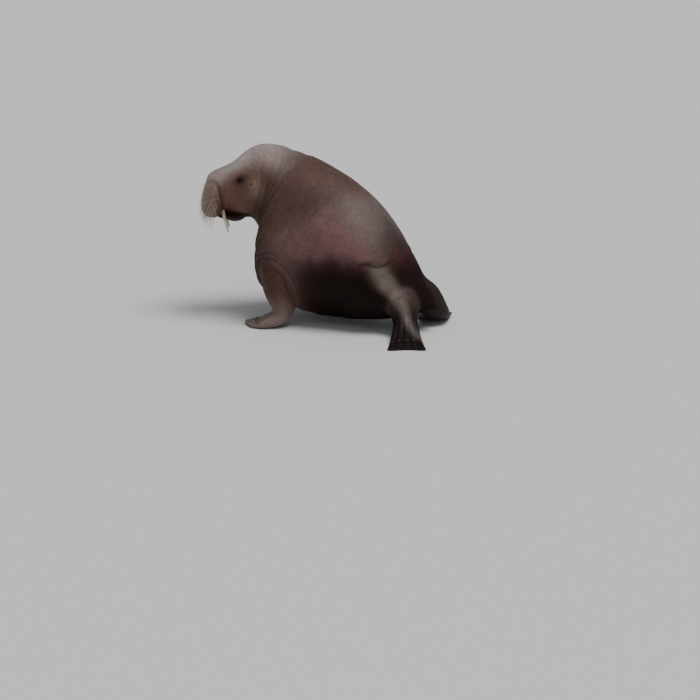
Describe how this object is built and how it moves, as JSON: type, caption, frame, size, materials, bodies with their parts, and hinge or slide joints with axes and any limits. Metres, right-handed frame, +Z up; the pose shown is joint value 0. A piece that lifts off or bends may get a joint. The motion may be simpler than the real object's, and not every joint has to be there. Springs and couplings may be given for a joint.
{
  "type": "walrus",
  "caption": "Life-size still model of a young walrus propped on its fore flippers, head turned to its left, short tusks, hind flippers splayed.",
  "frame": {"origin": "on the floor, under the middle of the bounding box", "axes": "the animal faces -X, its left side is towards -Y, +Z is up"},
  "size_m": [1.6994, 1.0144, 1.1018],
  "materials": {
    "skin": "satin",
    "face": "satin",
    "flipper": "satin",
    "ivory": "satin",
    "eye": "gloss"
  },
  "bodies": {
    "root": {"head": "face", "neck": "skin", "chest": "skin", "torso": "skin", "rump": "skin", "tail": "skin", "lower_jaw": "face", "whisker_pad_left": "face", "whisker_pad_right": "face", "eye_left": "eye", "eye_right": "eye", "tusk_left": "ivory", "tusk_right": "ivory", "fore_arm_left": "skin", "fore_arm_right": "skin", "fore_flipper_left": "flipper", "fore_flipper_right": "flipper", "hind_leg_left": "skin", "hind_leg_right": "skin", "hind_flipper_left": "flipper", "hind_flipper_right": "flipper"}
  },
  "joints": []
}
